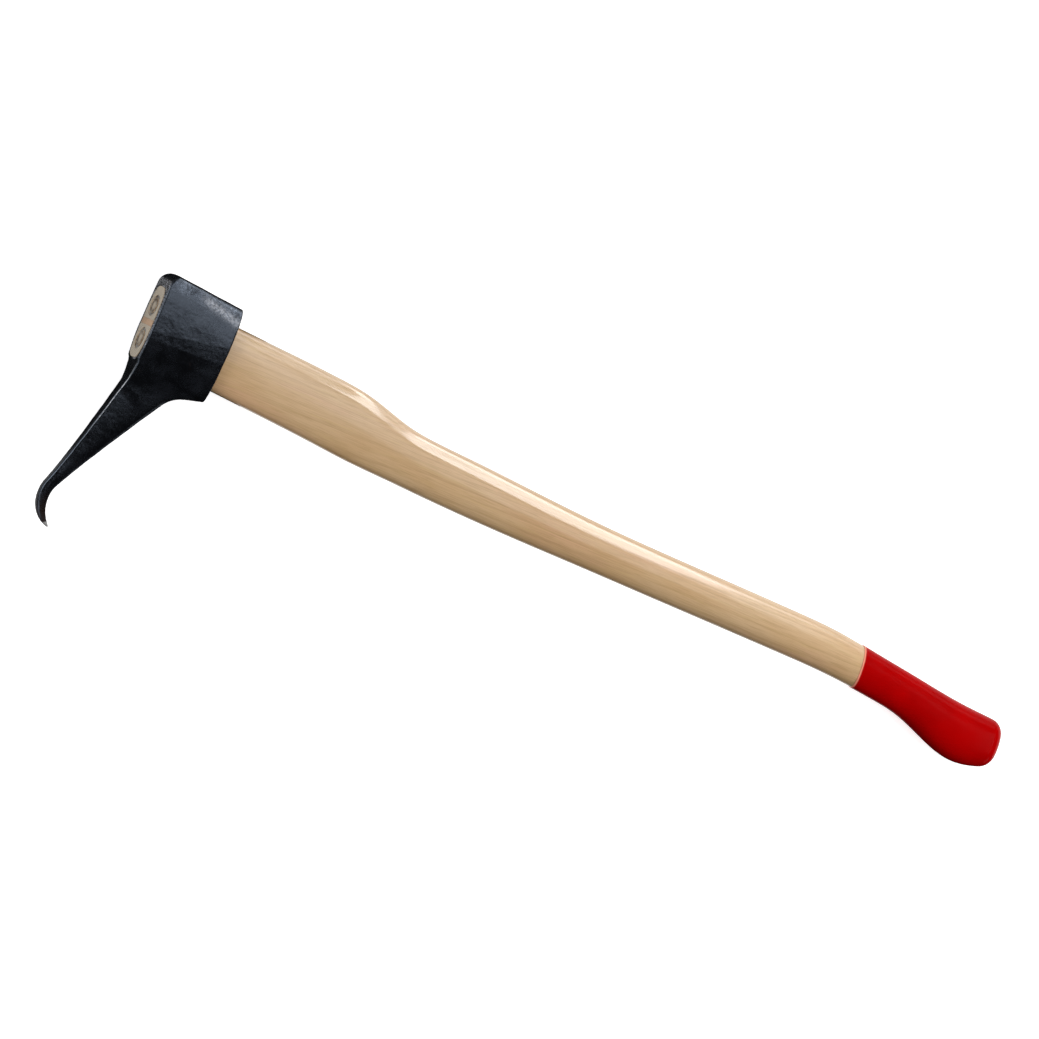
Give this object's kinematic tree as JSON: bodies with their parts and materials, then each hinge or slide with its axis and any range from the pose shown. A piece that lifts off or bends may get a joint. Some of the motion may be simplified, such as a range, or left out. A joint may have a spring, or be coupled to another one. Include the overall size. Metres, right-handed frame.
{
  "type": "log pick",
  "caption": "Hooked log pick: a forged steel head with a long curved pick, wedged on a curved hickory haft with a red dipped knob, for pulling and lifting logs.",
  "frame": {"origin": "middle of the base of the bounding box, with the tool lying on its side and its lower cheek at z = 0", "axes": "+X runs along the haft from the head's end face to the knob, +Y points to the back of the head, so that the pick points to -Y, and +Z is the tool's thickness"},
  "size_m": [0.8282, 0.2254, 0.038],
  "materials": {
    "forged_steel": "hammer-forged, black scale and varnish, satin, bare ground steel at the point",
    "hickory": "sanded and clear varnished, grain along the haft",
    "wedge_wood": "darker hardwood, sawn flush",
    "ring_steel": "bare steel, struck with a hammer",
    "red_dip": "dipped gloss red coat with a slanted lip"
  },
  "bodies": {
    "root": {"head": "forged_steel", "haft": "hickory", "cross_wedge": "wedge_wood", "ring_wedge_back": "ring_steel", "ring_wedge_front": "ring_steel", "dip_coat": "red_dip"}
  },
  "joints": []
}
